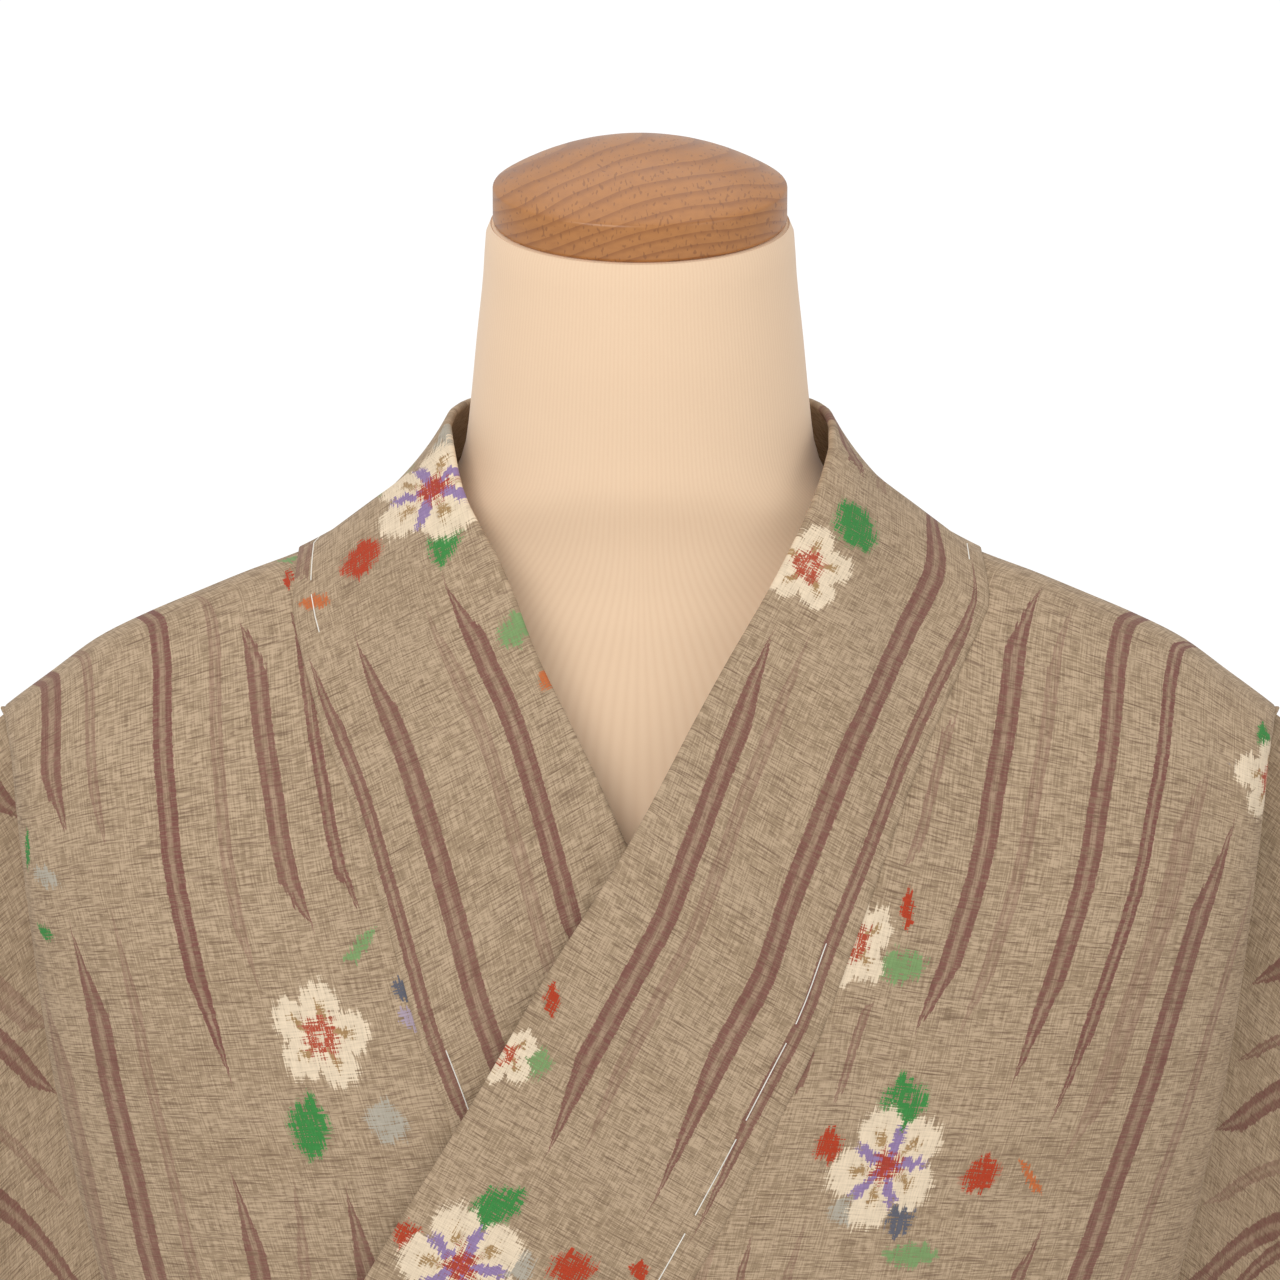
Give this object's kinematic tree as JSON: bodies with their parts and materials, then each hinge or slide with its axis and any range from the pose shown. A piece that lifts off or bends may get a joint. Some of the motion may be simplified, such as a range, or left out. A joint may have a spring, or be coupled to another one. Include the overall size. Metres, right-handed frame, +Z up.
{
  "type": "kimono on dress form",
  "caption": "Woman's full-length kimono in striped pongee with flower motifs, closed left front over right, standing on a limbless dress form with a round base.",
  "frame": {"origin": "on the floor under the middle of the round base, where the part stands", "axes": "+Z up, the front faces -Y, the wearer's left is at +X"},
  "size_m": [0.9092, 0.33, 1.6496],
  "materials": {
    "pongee": "matt slubbed silk, woven stripes and motifs",
    "jersey": "fine ribbed knit",
    "beech": "satin varnish",
    "stand_metal": "satin"
  },
  "bodies": {
    "root": {"body_left": "pongee", "body_right": "pongee", "overlap_left": "pongee", "overlap_right": "pongee", "collar": "pongee", "sleeve_left": "pongee", "sleeve_right": "pongee", "form_trunk": "jersey", "form_cap": "beech", "form_pole": "stand_metal", "form_base": "beech"}
  },
  "joints": []
}
